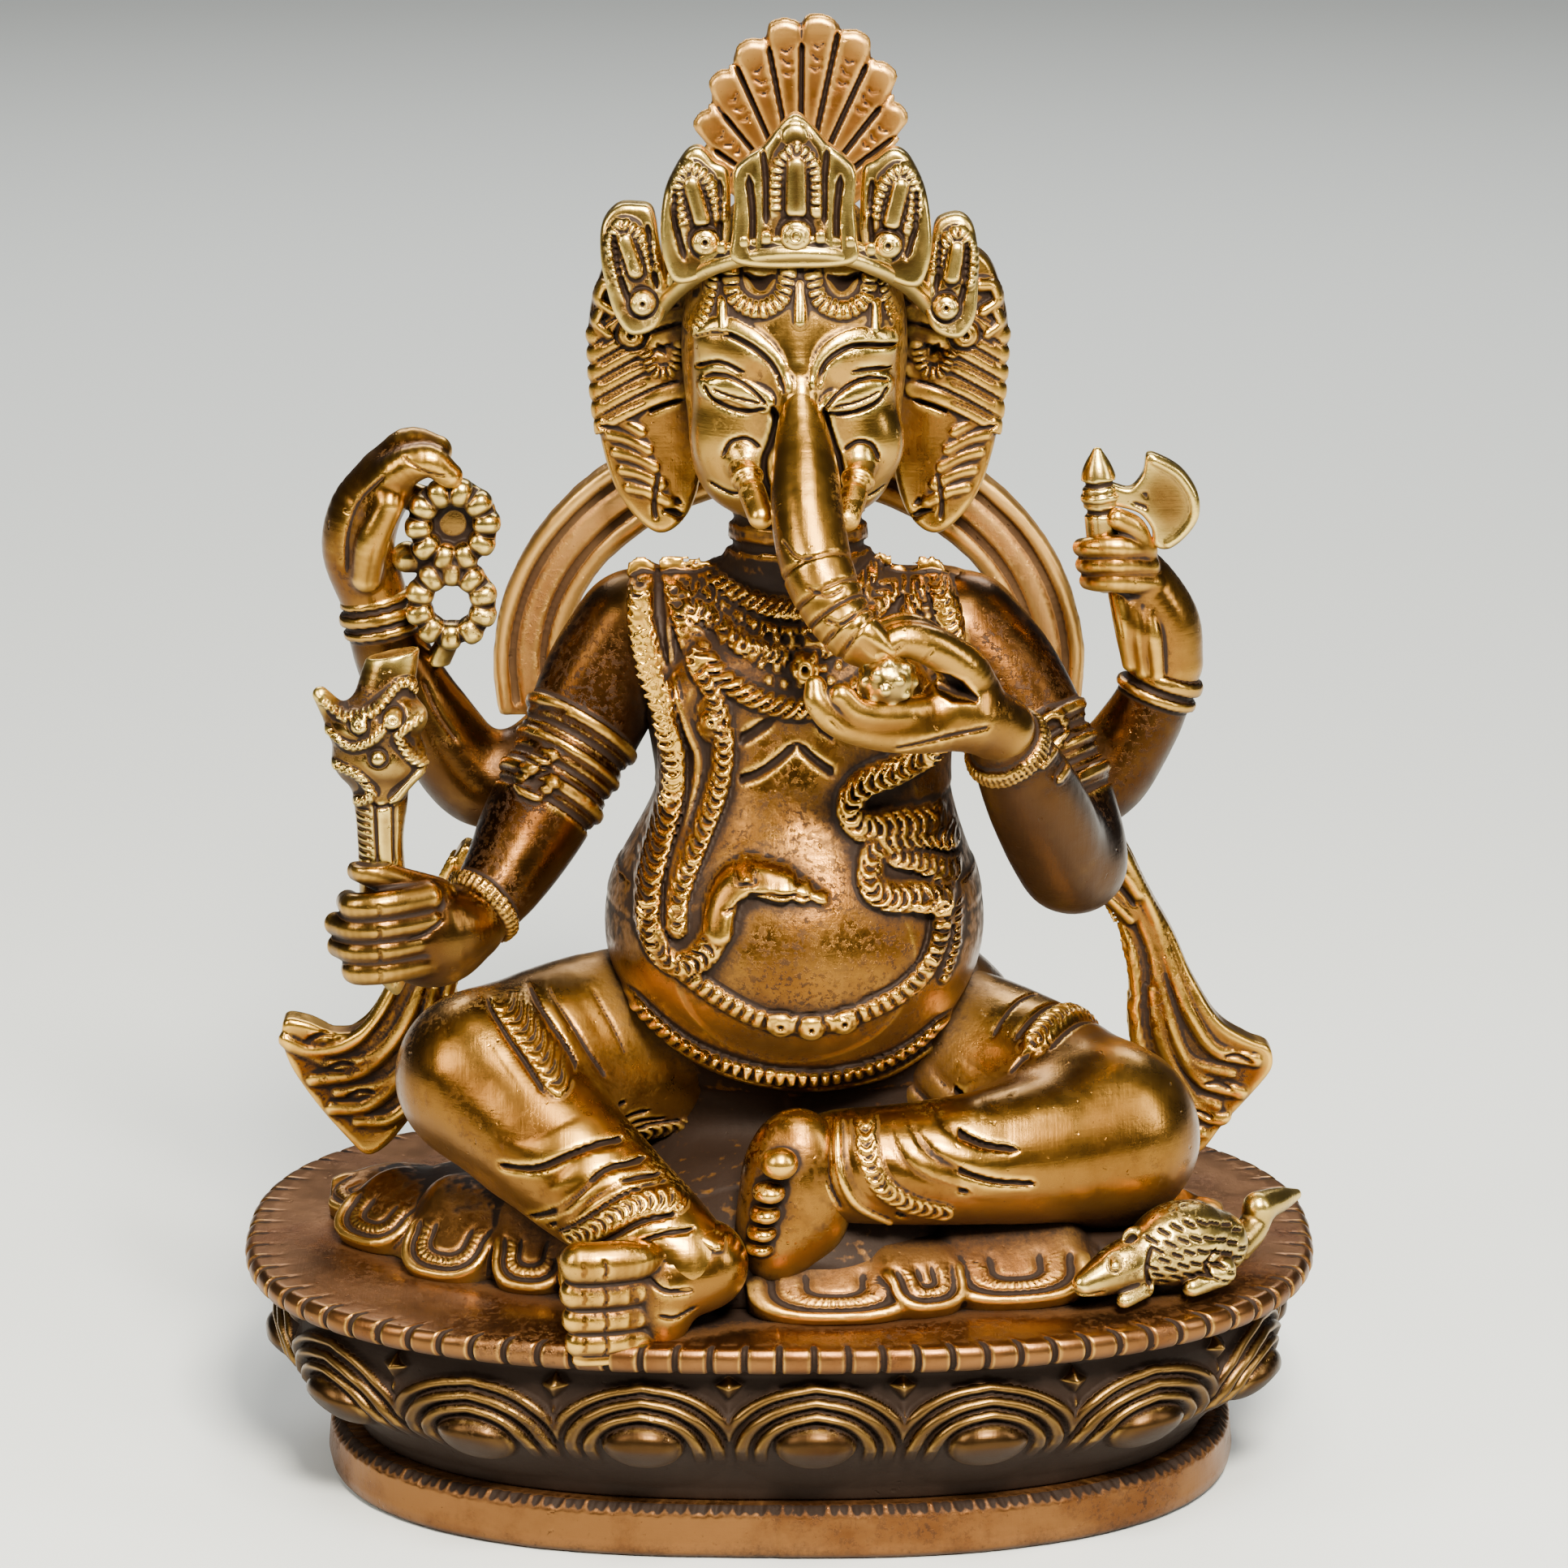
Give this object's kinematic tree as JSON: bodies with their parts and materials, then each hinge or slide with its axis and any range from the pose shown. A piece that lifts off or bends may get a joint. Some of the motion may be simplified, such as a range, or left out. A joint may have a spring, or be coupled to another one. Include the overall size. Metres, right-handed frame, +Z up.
{
  "type": "ganesha idol",
  "caption": "Seated four-armed elephant-headed idol with crown, scarf arch and held emblems, on an oval lotus base that is open underneath.",
  "frame": {"origin": "the middle of the footprint's bounding box, on the surface the idol stands on", "axes": "+Z up; the idol faces -Y; its own left hand is at +X"},
  "size_m": [0.222, 0.146, 0.3],
  "materials": {
    "figure_casting": "cast, chased and rubbed, with brown patina in the recesses",
    "ornament_casting": "cast and chased, brighter on the high spots, dark in the cut lines",
    "cloth_casting": "cast sheet-like folds with cut grooves, brown patina",
    "base_casting": "cast and chased petals, darker brown patina, rubbed rim",
    "fixing_pegs": "plain, hidden inside the idol"
  },
  "bodies": {
    "root": {"foot_ring": "base_casting", "lotus_base": "base_casting", "seat_cloth": "cloth_casting", "seat_peg_right": "fixing_pegs", "seat_peg_left": "fixing_pegs", "torso": "figure_casting", "right_leg": "figure_casting", "left_leg": "figure_casting", "right_foot": "figure_casting", "left_foot": "figure_casting", "front_right_arm": "figure_casting", "front_right_hand": "figure_casting", "tusk_emblem": "ornament_casting", "front_left_arm": "figure_casting", "front_left_hand": "figure_casting", "sweet_ball": "ornament_casting", "rear_right_arm": "figure_casting", "rear_right_hand": "figure_casting", "rosary": "ornament_casting", "rear_left_arm": "figure_casting", "rear_left_hand": "figure_casting", "axe_handle": "ornament_casting", "axe_blade": "ornament_casting", "head": "figure_casting", "trunk": "figure_casting", "right_tusk_stump": "figure_casting", "left_tusk_stump": "figure_casting", "right_ear": "figure_casting", "left_ear": "figure_casting", "crown_band": "ornament_casting", "crown_leaf_centre": "ornament_casting", "crown_leaf_inner_right": "ornament_casting", "crown_leaf_inner_left": "ornament_casting", "crown_leaf_outer_right": "ornament_casting", "crown_leaf_outer_left": "ornament_casting", "crest_fan": "ornament_casting", "scarf_arch": "cloth_casting", "scarf_tail_left": "cloth_casting", "scarf_tail_right": "cloth_casting", "mouse": "ornament_casting"}
  },
  "joints": []
}
